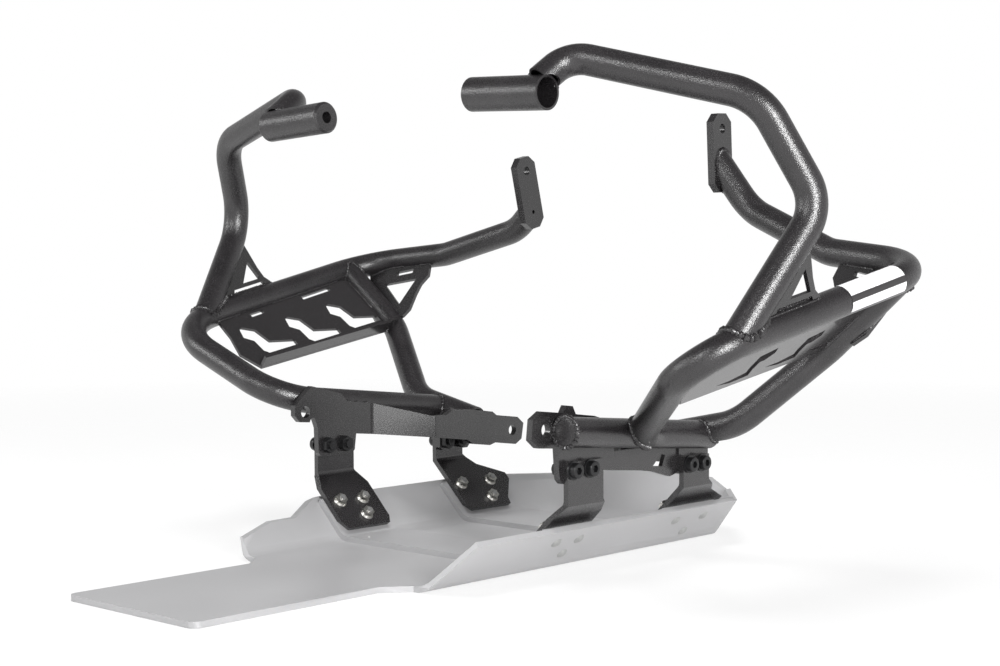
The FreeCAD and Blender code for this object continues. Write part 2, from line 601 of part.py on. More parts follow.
# The four brackets: a folded sheet each, upright against the plate and its foot on the saddle.
BRACKET_TOP = {"rear": 98.0, "front": 89.0}
BRACKET_SHAPE = {
    "rear": [(-20, 98), (26, 98), (26, 64), (34, 52), (34, 22), (28, 14), (-21, 14), (-27, 22), (-27, 50),
             (-20, 62)],
    "front": [(139, 89), (178, 89), (178, 66), (190, 55), (222, 44), (222, 38), (203, 22), (200, 14),
              (146, 14), (140, 20)],
}
foot_face = size("pan_half_width") + PAN_SIDE_SHIFT - (size("pan_gauge") + size("saddle_gauge")) / math.sin(slope)
for place, bolts in (("rear", REAR_BOLTS), ("front", FRONT_BOLTS)):
    upright = PLATE_OUTER + size("bracket_gauge")
    knee = Vector(upright, (upright - foot_face) * math.tan(slope), 0)
    toe_height = size("bracket_foot") - 4
    toe = Vector(foot_face + toe_height / math.tan(slope), toe_height, 0)
    line = [Vector(upright, REACH / 5, 0), knee, toe]
    fold = doc.addObject("Sketcher::SketchObject", "bracket_fold_" + place)
    fold.Placement = FreeCAD.Placement(Vector(0, REACH / 2, 0), LENGTHWISE)
    fold.addGeometry(ribbon(line, -size("bracket_gauge"), size("bracket_bend")), False)
    strap = doc.addObject("Part::Extrusion", "bracket_strap_" + place)
    strap.Base = fold
    strap.DirMode = "Normal"
    strap.LengthFwd = REACH
    strap.Solid = True
    bracket_sketch = drawn("bracket_outline_" + place, BRACKET_SHAPE[place], Vector(0, 0, 0), ACROSS,
                           circles=[bolt + ("bolt_clearance",) for bolt in bolts])
    block = doc.addObject("Part::Extrusion", "bracket_block_" + place)
    block.Base = bracket_sketch
    block.DirMode = "Normal"
    block.LengthFwd = REACH / 4
    block.Solid = True
    bracket = common("bracket_blank_" + place, strap, block)
    drills = feature("bracket_drills_" + place, Part.makeCompound(screw_holes))
    bracket = cut("bracket_form_" + place, bracket, drills)
    nodes["bracket_%s_right" % place] = bracket
    nodes["bracket_%s_left" % place] = mirrored("bracket_%s_left_hand" % place, bracket)


def hexagon(flats, height):
    """A six-sided prism on the plane z = 0."""
    radius = flats / math.sqrt(3)
    corners = [Vector(radius * math.cos(math.radians(60 * k)), radius * math.sin(math.radians(60 * k)), 0)
               for k in range(6)]
    return Part.Face(Part.makePolygon(corners + corners[:1])).extrude(Vector(0, 0, height))


def placed(shape, base, way):
    """A copy of a shape, moved to a base and turned from Z to a way."""
    result = shape.copy()
    result.Placement = FreeCAD.Placement(base, FreeCAD.Rotation(Vector(0, 0, 1), way))
    return result


# The bracket bolts with their washers and nuts, drawn along Z from the washer's face inwards.
joint_depth = size("bracket_gauge") + size("plate_gauge")
bolt_length = size("washer_gauge") + joint_depth + size("bolt_nut_height") + size("bolt_tail")
shank = Part.makeCylinder(size("bolt_shank") / 2, bolt_length, Vector(0, 0, -bolt_length))
bolt = hexagon(size("bolt_head_flats"), size("bolt_head_height")).fuse(shank)
washer = Part.makeCylinder(size("washer_outer") / 2, size("washer_gauge"))
washer = washer.cut(Part.makeCylinder(size("bolt_shank") / 2, size("washer_gauge")))
bolt_nut = hexagon(size("bolt_head_flats"), size("bolt_nut_height"))
bolt_nut = bolt_nut.cut(Part.makeCylinder(size("bolt_shank") / 2, size("bolt_nut_height")))
bolts, washers, nuts = [], [], []
for side in SIDES.values():
    for y, z in REAR_BOLTS + FRONT_BOLTS:
        face = Vector(side * (PLATE_OUTER + size("bracket_gauge")), y, z)
        out = Vector(side, 0, 0)
        bolts.append(placed(bolt, face + out * size("washer_gauge"), out))
        washers.append(placed(washer, face, out))
        nuts.append(placed(bolt_nut, face - out * joint_depth, out * -1))
nodes["bracket_bolts"] = feature("bracket_bolts", Part.makeCompound(bolts))
nodes["bracket_washers"] = feature("bracket_washers", Part.makeCompound(washers))
nodes["bracket_nuts"] = feature("bracket_nuts", Part.makeCompound(nuts))

# The wall screws: domed heads outside the pan, flanged nuts on the bracket feet.
wall_depth = size("pan_gauge") + size("saddle_gauge") + size("bracket_gauge")
screw_length = wall_depth + size("screw_nut_height") + size("screw_tail")
head_radius = size("screw_head") / 2
head_height = size("screw_head_height")
dome = (head_radius ** 2 + head_height ** 2) / (2 * head_height)
head = Part.makeSphere(dome, Vector(0, 0, head_height - dome))
head = head.common(Part.makeCylinder(head_radius, head_height))
screw = head.fuse(Part.makeCylinder(size("screw_shank") / 2, screw_length, Vector(0, 0, -screw_length)))
flange = Part.makeCone(size("screw_nut_flange") / 2, size("screw_nut_flats") / math.sqrt(3), size("screw_nut_rim"))
screw_nut = hexagon(size("screw_nut_flats"), size("screw_nut_height")).fuse(flange)
screw_nut = screw_nut.cut(Part.makeCylinder(size("screw_shank") / 2, size("screw_nut_height")))
screws, screw_nuts = [], []
for side in SIDES.values():
    for seat in screw_seats:
        base = Vector(side * seat.x, seat.y, seat.z)
        out = Vector(side * OUTWARD.x, 0, OUTWARD.z)
        screws.append(placed(screw, base, out))
        screw_nuts.append(placed(screw_nut, base - out * wall_depth, out * -1))
nodes["wall_screws"] = feature("wall_screws", Part.makeCompound(screws))
nodes["wall_nuts"] = feature("wall_nuts", Part.makeCompound(screw_nuts))

doc.recompute()
for item in doc.Objects:
    if "Invalid" in item.State or "Error" in item.State:
        raise RuntimeError("%s failed: %s" % (item.Name, item.State))
for name, item in nodes.items():
    if item.Shape.isNull() or not item.Shape.isValid():
        raise RuntimeError("%s has no valid shape" % name)

os.makedirs("parts", exist_ok=True)
for name, item in nodes.items():
    item.Label = name
    item.Shape.exportStep("parts/%s.step" % name)
    print("%-22s %2d solids %10.0f mm3" % (name, len(item.Shape.Solids), item.Shape.Volume))
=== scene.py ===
import bmesh
import bpy
import math
import random
from mathutils import Matrix, Vector
from mathutils.bvhtree import BVHTree


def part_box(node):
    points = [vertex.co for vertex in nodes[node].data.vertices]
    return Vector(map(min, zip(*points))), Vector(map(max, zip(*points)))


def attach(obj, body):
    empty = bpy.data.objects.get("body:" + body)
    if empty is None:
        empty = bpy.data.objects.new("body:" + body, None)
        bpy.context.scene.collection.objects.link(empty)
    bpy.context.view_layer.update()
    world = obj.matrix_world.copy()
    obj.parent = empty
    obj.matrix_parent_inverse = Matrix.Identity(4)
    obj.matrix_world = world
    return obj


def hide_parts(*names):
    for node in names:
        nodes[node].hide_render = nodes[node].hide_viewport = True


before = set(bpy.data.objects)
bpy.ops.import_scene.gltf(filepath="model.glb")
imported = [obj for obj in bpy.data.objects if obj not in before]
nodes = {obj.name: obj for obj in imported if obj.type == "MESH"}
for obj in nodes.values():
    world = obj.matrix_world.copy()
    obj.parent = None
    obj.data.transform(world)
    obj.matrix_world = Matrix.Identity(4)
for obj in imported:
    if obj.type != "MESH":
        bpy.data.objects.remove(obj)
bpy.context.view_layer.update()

# The camera stands about 1.5 m behind and to the right of the bars, level with their middle,
# as the photograph shows them.
PHOTO_WIDTH = 1000
FOCAL_PIXELS = 1708.4
SENSOR_MM = 36.0
CAMERA_PLACE = Vector((1.0738, -1.0917, 0.2635))
CAMERA_AZIMUTH = math.radians(42.76)
CAMERA_ELEVATION = math.radians(2.35)
CAMERA_ROLL = math.radians(-0.23)

camera = bpy.data.objects.new("camera", bpy.data.cameras.new("camera"))
bpy.context.scene.collection.objects.link(camera)
camera.data.lens = FOCAL_PIXELS / PHOTO_WIDTH * SENSOR_MM
camera.data.sensor_width = SENSOR_MM
camera.data.clip_start = 0.01
backward = Vector((math.sin(CAMERA_AZIMUTH) * math.cos(CAMERA_ELEVATION),
                   -math.cos(CAMERA_AZIMUTH) * math.cos(CAMERA_ELEVATION), math.sin(CAMERA_ELEVATION)))
level = Vector((math.cos(CAMERA_AZIMUTH), math.sin(CAMERA_AZIMUTH), 0))
rightward = Matrix.Rotation(CAMERA_ROLL, 3, backward) @ level
upward = backward.cross(rightward)
turn = Matrix((rightward, upward, backward)).transposed().to_4x4()
camera.matrix_world = Matrix.Translation(CAMERA_PLACE) @ turn
bpy.context.scene.camera = camera
bpy.context.scene.view_settings.view_transform = "Standard"


# The studio: a white floor that fades into white air, under a dim ceiling. The floor keeps
# the soft shadow, and shiny surfaces see the same white as the camera does.
class Wire:
    """A shader socket that can stand in sums: an operator adds its own Math node."""

    def __init__(self, shading, socket):
        self.shading = shading
        self.socket = socket

    def sum(self, operation, first, second):
        return self.shading.node("Math", {"operation": operation}, first, second)

    def __add__(self, other):
        return self.sum("ADD", self, other)

    def __sub__(self, other):
        return self.sum("SUBTRACT", self, other)

    def __rsub__(self, other):
        return self.sum("SUBTRACT", other, self)

    def __mul__(self, other):
        return self.sum("MULTIPLY", self, other)

    __radd__ = __add__
    __rmul__ = __mul__


class Shading:
    """A tree of shader nodes that are added as they are needed."""

    def __init__(self, tree):
        self.tree = tree

    def node(self, kind, settings, *values, output=0, **named):
        made = self.tree.nodes.new("ShaderNode" + kind)
        for setting, value in settings.items():
            setattr(made, setting, value)
        for key, value in list(enumerate(values)) + list(named.items()):
            name = key if isinstance(key, int) else key.replace("_", " ").title()
            self.join(value, made.inputs[name])
        return Wire(self, made.outputs[output])

    def join(self, value, socket):
        if isinstance(value, Wire):
            self.tree.links.new(value.socket, socket)
        else:
            socket.default_value = value

    def span(self, value, low, high, new_low, new_high):
        return self.node("MapRange", {}, value, low, high, new_low, new_high)

    def blend(self, factor, first, second):
        mixed = self.node("Mix", {"data_type": "RGBA"}, output=2)
        for index, value in ((0, factor), (6, first), (7, second)):
            self.join(value, mixed.socket.node.inputs[index])
        return mixed

    def place(self):
        return self.node("TexCoord", {}, output="Object")

    def noise(self, size, detail=2.0, roughness=0.5):
        return self.node("TexNoise", {}, vector=self.place(), scale=1 / size, detail=detail,
                         roughness=roughness)

    def bump(self, height, depth, strength=1.0):
        return self.node("Bump", {}, strength=strength, distance=depth, height=height)

    def seen(self):
        """One where the camera, a reflection or glass sees the surface, and nothing where it gives light."""
        rays = self.node("LightPath", {}, output="Is Camera Ray")
        path = rays.socket.node.outputs
        return rays + Wire(self, path["Is Glossy Ray"]) + Wire(self, path["Is Transmission Ray"])


class Finish(Shading):
    """A surface finish, named for what it covers."""

    def __init__(self, name, **shader):
        self.material = bpy.data.materials.new(name)
        self.material.use_nodes = True
        super().__init__(self.material.node_tree)
        self.shader = self.tree.nodes["Principled BSDF"]
        for socket, value in shader.items():
            self.set(socket, value)

    def set(self, socket, value):
        self.join(value, self.shader.inputs[socket.replace("_", " ")])

    def paint(self, *names):
        for name in names:
            piece = nodes[name]
            piece.data.materials.clear()
            piece.data.materials.append(self.material)


FLOOR_SIZE = 12.0
FLOOR_COLOUR = (0.9, 0.9, 0.9, 1)
FLOOR_GLOW = 0.8
FLOOR_SOLID_TO = 0.9
FLOOR_GONE_BY = 2.4
bpy.ops.mesh.primitive_plane_add(size=FLOOR_SIZE, location=(0, 0, 0))
floor = bpy.context.object
floor.name = "studio_floor"
floor_finish = Finish("studio_floor", Base_Color=FLOOR_COLOUR, Roughness=0.9, Specular_IOR_Level=0.0)
matt = Wire(floor_finish, floor_finish.shader.outputs[0])
glow = floor_finish.node("Emission", {}, (1, 1, 1, 1), 1.0)
lit = floor_finish.node("MixShader", {}, floor_finish.seen() * FLOOR_GLOW, matt, glow)
distance = floor_finish.node("VectorMath", {"operation": "LENGTH"}, floor_finish.place(), output="Value")
fade = floor_finish.span(distance, FLOOR_SOLID_TO, FLOOR_GONE_BY, 0.0, 1.0)
air = floor_finish.node("BsdfTransparent", {})
faded = floor_finish.node("MixShader", {}, fade * floor_finish.seen(), lit, air)
floor_out = floor_finish.tree.nodes["Material Output"]
floor_finish.tree.links.new(faded.socket, floor_out.inputs["Surface"])
floor.data.materials.append(floor_finish.material)

WALL_LIGHT = 0.42
CEILING_LIGHT = 0.16
MIRRORED_WALL_LIGHT = 0.8
MIRRORED_CEILING_LIGHT = 0.12
CEILING_FROM = 0.15
CEILING_TO = 0.75
world = bpy.data.worlds.new("studio")
bpy.context.scene.world = world
world.use_nodes = True
world.node_tree.nodes.clear()
studio = Shading(world.node_tree)
heading = studio.node("TexCoord", {}, output="Generated")
height = studio.node("SeparateXYZ", {}, heading, output="Z")
ceiling = studio.span(height, CEILING_FROM, CEILING_TO, 0.0, 1.0)
room_light = studio.span(ceiling, 0.0, 1.0, WALL_LIGHT, CEILING_LIGHT)
mirrored_light = studio.span(ceiling, 0.0, 1.0, MIRRORED_WALL_LIGHT, MIRRORED_CEILING_LIGHT)
room = studio.node("Background", {}, strength=room_light)
mirrored_room = studio.node("Background", {}, (1, 1, 1, 1), mirrored_light)
white = studio.node("Background", {}, (1, 1, 1, 1), 1.0)
rays = studio.node("LightPath", {}, output="Is Camera Ray")
path = rays.socket.node.outputs
shiny = studio.node("MixShader", {}, Wire(studio, path["Is Glossy Ray"]), room, mirrored_room)
clear = studio.node("MixShader", {}, Wire(studio, path["Is Transmission Ray"]), shiny, white)
sky = studio.node("MixShader", {}, rays, clear, white)
world_out = world.node_tree.nodes.new("ShaderNodeOutputWorld")
world.node_tree.links.new(sky.socket, world_out.inputs["Surface"])


def softbox(name, place, aim, width, height, power, mirrored=True):
    """A soft lamp that points from its place to its aim, with or without a highlight of its own."""
    light = bpy.data.lights.new(name, "AREA")
    light.shape = "RECTANGLE"
    light.size = width
    light.size_y = height
    light.energy = power
    holder = bpy.data.objects.new(name, light)
    holder.visible_glossy = mirrored
    bpy.context.scene.collection.objects.link(holder)
    way = Vector(aim) - Vector(place)
    holder.matrix_world = Matrix.Translation(place) @ way.to_track_quat("-Z", "Y").to_matrix().to_4x4()


softbox("softbox_right", (2.4, -0.95, 0.75), (0.1, 0.0, 0.2), 0.5, 0.8, 72)
softbox("softbox_camera", (0.2, -2.5, 1.5), (0.1, 0.0, 0.2), 0.5, 0.5, 18)
softbox("softbox_top", (-0.3, 0.2, 2.6), (0.0, 0.0, 0.1), 1.3, 1.3, 56, mirrored=False)
softbox("softbox_left", (-1.7, -1.7, 1.1), (0.0, 0.0, 0.25), 0.6, 0.6, 12)

# The skid pan is one folded sheet of aluminium, satin anodised in a cool grey, with two
# saddles of the same sheet laid in it under the brackets. Its left wall steps down to the
# rear, and its front ramp is cut on a slant at both ends.
PAN_COLOUR = (0.40, 0.398, 0.405, 1)
PAN_COLOUR_RUBBED = (0.445, 0.443, 0.45, 1)
PAN_CLOUD_SIZE = 0.12
PAN_GRAIN_SIZE = 0.0007
pan_satin = Finish("pan_satin", Metallic=0.25)
pan_cloud = pan_satin.span(pan_satin.noise(PAN_CLOUD_SIZE, 4.0), 0.35, 0.65, 0.0, 1.0)
pan_grain = pan_satin.noise(PAN_GRAIN_SIZE, 2.0)
pan_satin.set("Base_Color", pan_satin.blend(pan_cloud, PAN_COLOUR, PAN_COLOUR_RUBBED))
pan_satin.set("Roughness", pan_satin.span(pan_grain + pan_cloud, 0.4, 1.6, 0.42, 0.56))
pan_satin.set("Normal", pan_satin.bump(pan_grain, 0.00005, 0.5))
pan_satin.paint("skid_pan", "rear_saddle", "front_saddle")
SHEET_CREASE = 25
CUTTER_TOP = 0.058
WALL_OUTSIDE = -0.17
WALL_CUT_WIDTH = 0.07
RAMP_FROM = 0.262
RAMP_CUT_LENGTH = 0.06
RAMP_CORNERS = ((0.070, 0.0485), (0.100, 0.0365))
WALL_PROFILE = ((-0.160, 0.0124), (-0.095, 0.028), (-0.066, 0.0284), (-0.031, 0.0425), (-0.023, 0.0436))


def pull(mesh, faces, way):
    """New faces, drawn out along a vector. The old faces stay only where nothing else joins them."""
    joined = any(len(edge.link_faces) > 1 for face in faces for edge in face.edges)
    drawn = bmesh.ops.extrude_face_region(mesh, geom=list(faces))["geom"]
    bmesh.ops.translate(mesh, verts=[item for item in drawn if isinstance(item, bmesh.types.BMVert)], vec=way)
    if joined:
        bmesh.ops.delete(mesh, geom=list(faces), context="FACES_ONLY")
    return [item for item in drawn if isinstance(item, bmesh.types.BMFace)]


def slab(corners, way):
    """A flat outline made solid along a vector."""
    mesh = bmesh.new()
    outline = mesh.faces.new([mesh.verts.new(corner) for corner in corners])
    pull(mesh, [outline], way)
    bmesh.ops.recalc_face_normals(mesh, faces=mesh.faces)
    return mesh


def combined(mesh, other, operation="DIFFERENCE"):
    """One mesh less another, or joined with it."""
    holders = []
    for shape in (mesh, other):
        data = bpy.data.meshes.new("shape")
        shape.to_mesh(data)
        shape.free()
        holders.append(bpy.data.objects.new("shape", data))
        bpy.context.scene.collection.objects.link(holders[-1])
    step = holders[0].modifiers.new("step", "BOOLEAN")
    step.operation = operation
    step.object = holders[1]
    bpy.context.view_layer.update()
    result = bmesh.new()
    result.from_mesh(holders[0].evaluated_get(bpy.context.evaluated_depsgraph_get()).to_mesh())
    for holder in holders:
        bpy.data.objects.remove(holder)
    return result


def finished(name, mesh, finish, crease=35):
    """A mesh made into a piece of the object, with its finish and the angle that stays sharp."""
    bmesh.ops.recalc_face_normals(mesh, faces=mesh.faces)
    data = bpy.data.meshes.new(name)
    mesh.to_mesh(data)
    mesh.free()
    piece = bpy.data.objects.new(name, data)
    bpy.context.scene.collection.objects.link(piece)
    data.materials.append(finish.material)
    data.polygons.foreach_set("use_smooth", [True] * len(data.polygons))
    data.set_sharp_from_angle(angle=math.radians(crease))
    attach(piece, "root")
    return piece


def merged(name, distance=0.00001):
    """A node's mesh, with the doubled corners along its edges made one."""
    mesh = bmesh.new()
    mesh.from_mesh(nodes[name].data)
    bmesh.ops.remove_doubles(mesh, verts=mesh.verts, dist=distance)
    return mesh


def all_above(line):
    """The outline of a cutter that takes away all above a line."""
    return list(line) + [(line[-1][0], CUTTER_TOP), (line[0][0], CUTTER_TOP)]


wall_cutter = slab([(WALL_OUTSIDE, y, z) for y, z in all_above(WALL_PROFILE)], (WALL_CUT_WIDTH, 0, 0))
pan = combined(merged("skid_pan"), wall_cutter)
for side in (-1, 1):
    corners = [(x * side, RAMP_FROM, z) for x, z in all_above(RAMP_CORNERS)]
    pan = combined(pan, slab(corners, (0, RAMP_CUT_LENGTH, 0)))
trimmed_pan = finished("trimmed_pan", pan, pan_satin, SHEET_CREASE)
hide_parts("skid_pan")

# The four brackets are folded from black steel plate. Their feet are screwed through the
# saddles and the pan's walls, and their tops are bolted to the lower plates.
PLATE_COLOUR = (0.010, 0.0092, 0.0098, 1)
PLATE_COLOUR_PALE = (0.016, 0.0148, 0.0157, 1)
PLATE_CLOUD_SIZE = 0.05
PLATE_GRAIN_SIZE = 0.0009
plate_coat = Finish("plate_powder_coat", Specular_IOR_Level=1.0)
plate_cloud = plate_coat.span(plate_coat.noise(PLATE_CLOUD_SIZE, 3.0), 0.35, 0.65, 0.0, 1.0)
plate_grain = plate_coat.noise(PLATE_GRAIN_SIZE, 2.0)
plate_coat.set("Base_Color", plate_coat.blend(plate_cloud, PLATE_COLOUR, PLATE_COLOUR_PALE))
plate_coat.set("Roughness", plate_coat.span(plate_grain, 0.3, 0.7, 0.22, 0.3))
plate_coat.set("Normal", plate_coat.bump(plate_grain, 0.00001, 0.4))
plate_coat.paint("bracket_rear_right", "bracket_rear_left", "bracket_front_right", "bracket_front_left")


# The bracket bolts are black socket-head screws on plain washers, with nuts inside. Each new
# head stands where the plain one stood: turned, with a softened rim and a six-sided socket.
def islands(name):
    """The lowest and highest corners of each separate solid in a node."""
    mesh = merged(name)
    waiting = set(mesh.verts)
    found = []
    while waiting:
        group = {waiting.pop()}
        newest = list(group)
        while newest:
            reached = newest.pop()
            near = {edge.other_vert(reached) for edge in reached.link_edges} - group
            group |= near
            newest += near
        waiting -= group
        corners = [[choose(vert.co[axis] for vert in group) for axis in range(3)] for choose in (min, max)]
        found.append([Vector(corner) for corner in corners])
    mesh.free()
    return sorted(found, key=lambda corners: tuple(corners[0]))


def soften_rim(mesh, face, reach):
    """The edges round a turned piece's end face, rounded off."""
    bmesh.ops.bevel(mesh, geom=list(face.edges), offset=reach, segments=3, profile=0.5, affect="EDGES",
                    material=-1)


def stand_up(mesh, place, way):
    """Moves a piece that was turned along Z to its place, and points it along a vector."""
    turned = Matrix.Translation(place) @ way.to_track_quat("Z", "Y").to_matrix().to_4x4()
    bmesh.ops.transform(mesh, matrix=turned, verts=mesh.verts)


BOLT_HEAD_RADIUS = 0.0065
BOLT_HEAD_RIM = 0.0007
SOCKET_RADIUS = 0.0034
SOCKET_DEPTH = 0.0036
SOCKET_SIDE = math.radians(60)
SHANK_RADIUS = 0.004
HEAD_SIDES = 36
BLACK_STEEL_COLOUR = (0.016, 0.016, 0.017, 1)
BLACK_STEEL_GRAIN_SIZE = 0.001
black_steel = Finish("black_bolts", Base_Color=BLACK_STEEL_COLOUR, Metallic=0.3)
steel_grain = black_steel.noise(BLACK_STEEL_GRAIN_SIZE)
black_steel.set("Roughness", black_steel.span(steel_grain, 0.3, 0.7, 0.26, 0.36))
black_steel.paint("bracket_washers", "bracket_nuts")
washer_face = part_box("bracket_washers")[1][0]
bolts = bmesh.new()
for low, high in islands("bracket_bolts"):
    side = 1 if high.x > 0 else -1
    nearest, furthest = sorted((abs(low.x), abs(high.x)))
    head_height = furthest - washer_face
    bolt = bmesh.new()
    bmesh.ops.create_circle(bolt, segments=HEAD_SIDES, radius=BOLT_HEAD_RADIUS, cap_ends=True)
    soften_rim(bolt, pull(bolt, bolt.faces[:], (0, 0, head_height))[0], BOLT_HEAD_RIM)
    crown = max(bolt.faces, key=lambda face: face.calc_center_median().z)
    foot = min(bolt.faces, key=lambda face: face.calc_center_median().z)
    bmesh.ops.inset_region(bolt, faces=[crown], thickness=BOLT_HEAD_RADIUS - BOLT_HEAD_RIM - SOCKET_RADIUS)
    for vert in crown.verts:
        turned = math.atan2(vert.co.y, vert.co.x) % SOCKET_SIDE - SOCKET_SIDE / 2
        reach = SOCKET_RADIUS * math.cos(SOCKET_SIDE / 2) / math.cos(turned)
        vert.co.xy = vert.co.xy.normalized() * reach
    pull(bolt, [crown], (0, 0, -SOCKET_DEPTH))
    bmesh.ops.inset_region(bolt, faces=[foot], thickness=BOLT_HEAD_RADIUS - SHANK_RADIUS)
    pull(bolt, [foot], (0, 0, nearest - washer_face))
    seat = Vector((side * washer_face, (low.y + high.y) / 2, (low.z + high.z) / 2))
    stand_up(bolt, seat, Vector((side, 0, 0)))
    data = bpy.data.meshes.new("socket_bolt")
    bolt.to_mesh(data)
    bolt.free()
    bolts.from_mesh(data)
socket_bolts = finished("socket_bolts", bolts, black_steel)
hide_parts("bracket_bolts")

# The nuts on the bracket feet are flanged, in bright zinc. Their screws have low domed heads
# outside the pan's walls, in a greyer steel.
ZINC_COLOUR = (0.74, 0.73, 0.70, 1)
ZINC_COLOUR_DULL = (0.55, 0.54, 0.50, 1)
ZINC_CLOUD_SIZE = 0.004
SCREW_COLOUR = (0.30, 0.30, 0.30, 1)
SCREW_COLOUR_PALE = (0.44, 0.44, 0.43, 1)
SCREW_CLOUD_SIZE = 0.003
zinc = Finish("bright_zinc", Metallic=1.0)
zinc_cloud = zinc.noise(ZINC_CLOUD_SIZE, 3.0)
zinc.set("Base_Color", zinc.blend(zinc_cloud, ZINC_COLOUR, ZINC_COLOUR_DULL))
zinc.set("Roughness", zinc.span(zinc_cloud, 0.3, 0.7, 0.24, 0.4))
zinc.paint("wall_nuts")
screw_steel = Finish("screw_steel", Metallic=0.7)
screw_cloud = screw_steel.noise(SCREW_CLOUD_SIZE, 3.0)
screw_steel.set("Base_Color", screw_steel.blend(screw_cloud, SCREW_COLOUR, SCREW_COLOUR_PALE))
screw_steel.set("Roughness", screw_steel.span(screw_cloud, 0.3, 0.7, 0.34, 0.46))
screw_steel.paint("wall_screws")

# The lower plates and front legs are laser-cut steel, folded inwards once and back once,
# and welded along the bars' lower tubes. The right one also has a web with a window, under
# the tube and between the two brackets.
WEB_INNER = 0.1479
WEB_GAUGE = 0.0042
WEB = ((0.030, 0.101), (0.030, 0.0868), (0.086, 0.0813), (0.104, 0.0787), (0.128, 0.0722), (0.139, 0.0745),
       (0.139, 0.101))
WINDOW = ((0.103, 0.0834), (0.115, 0.0933), (0.121, 0.0920), (0.1166, 0.0822))
plate_coat.paint(*[name for name in nodes if name.startswith(("lower_plate", "front_leg"))])
web = slab([(WEB_INNER, y, z) for y, z in WEB], (WEB_GAUGE, 0, 0))
window = slab([(WEB_INNER - WEB_GAUGE, y, z) for y, z in WINDOW], (WEB_GAUGE * 3, 0, 0))
finished("plate_web_right", combined(web, window), plate_coat, SHEET_CREASE)

# The bars themselves: bent steel tube under a black powder coat with a fine sandy grain,
# which breaks every highlight into specks.
TUBE_COLOUR = (0.011, 0.010, 0.0108, 1)
TUBE_COLOUR_PALE = (0.022, 0.020, 0.0215, 1)
TUBE_CLOUD_SIZE = 0.03
SAND_SIZE = 0.001
SAND_DEPTH = 0.00028
tube_coat = Finish("tube_powder_coat", Specular_IOR_Level=0.8)
sand = tube_coat.noise(SAND_SIZE, 2.5, 0.6)
tube_cloud = tube_coat.span(tube_coat.noise(TUBE_CLOUD_SIZE, 3.0), 0.35, 0.65, 0.0, 1.0)
tube_coat.set("Base_Color", tube_coat.blend(tube_cloud * 0.5 + sand * 0.5, TUBE_COLOUR, TUBE_COLOUR_PALE))
tube_coat.set("Roughness", tube_coat.span(sand, 0.3, 0.7, 0.25, 0.33))
tube_coat.set("Normal", tube_coat.bump(sand, SAND_DEPTH, 0.9))
BENT_TUBES = ("main_bar", "upper_bar", "front_strut", "rear_stub")
tube_coat.paint(*[name for name in nodes if name.startswith(BENT_TUBES)])

# The sleeves at the upper ends are straight tube of a larger size, each with a turned plug
# in its inner end, coated with the bars.
tube_coat.paint("sleeve_left", "sleeve_right", "sleeve_plug_left", "sleeve_plug_right")

# The upper tabs are thick flat bar with cropped corners, one on each bar's front end.
plate_coat.paint("upper_tab_left", "upper_tab_right")

# The gussets stand in the bars' corners, cut from the plates' own steel.
plate_coat.paint(*[name for name in nodes if name.startswith(("rear_gusset", "front_gusset"))])

# The guard panels are laser-cut sheet, with a smoother coat than the plates and a narrow
# flange folded inwards along the lower edge. The right one is cut again with larger holes,
# drawn from its upper corner along and down the sheet.
SHEET_COLOUR = (0.016, 0.0148, 0.0155, 1)
SHEET_COLOUR_PALE = (0.024, 0.0223, 0.0235, 1)
sheet_coat = Finish("sheet_powder_coat", Specular_IOR_Level=1.0)
sheet_grain = sheet_coat.noise(PLATE_GRAIN_SIZE, 2.0)
sheet_coat.set("Base_Color", sheet_coat.blend(sheet_grain, SHEET_COLOUR, SHEET_COLOUR_PALE))
sheet_coat.set("Roughness", sheet_coat.span(sheet_grain, 0.3, 0.7, 0.13, 0.2))
sheet_coat.paint("guard_panel_left", "guard_panel_right")
PANEL_GAUGE = 0.003
PANEL_FLANGE = 0.016
FLANGE_START = 0.9 * PANEL_GAUGE
PANEL_FRAMES = {
    "right": ((0.321, -0.074, 0.190), (0.114, 0.968, 0.225), (-0.761, 0.231, -0.606),
              (-0.639, -0.102, 0.763)),
    "left": ((-0.320, -0.065, 0.200), (-0.095, 0.973, 0.213), (0.745, 0.211, -0.632),
             (0.660, -0.099, 0.745)),
}
FOLD = ((0.050, 0.083), (0.244, 0.0958))
PANEL_OUTLINE = ((0.052, 0.008), (0.285, 0.008), (0.276, 0.060), (0.262, 0.097), (0.050, 0.083),
                 (0.040, 0.060), (0.048, 0.036))
LIGHTNING = ((0.087, 0.081), (0.104, 0.0815), (0.122, 0.078), (0.121, 0.070), (0.123, 0.056),
             (0.143, 0.0525), (0.145, 0.0605), (0.137, 0.0675), (0.131, 0.0675), (0.1295, 0.077),
             (0.1305, 0.0865), (0.107, 0.0865))
LIGHTNING_STEPS = ((0.0, -0.006), (0.0635, -0.003), (0.122, 0.0))
PANEL_SLOTS = ((0.093, 0.111), (0.171, 0.214))
SLOT_TOP = 0.0165
SLOT_BOTTOM = 0.021
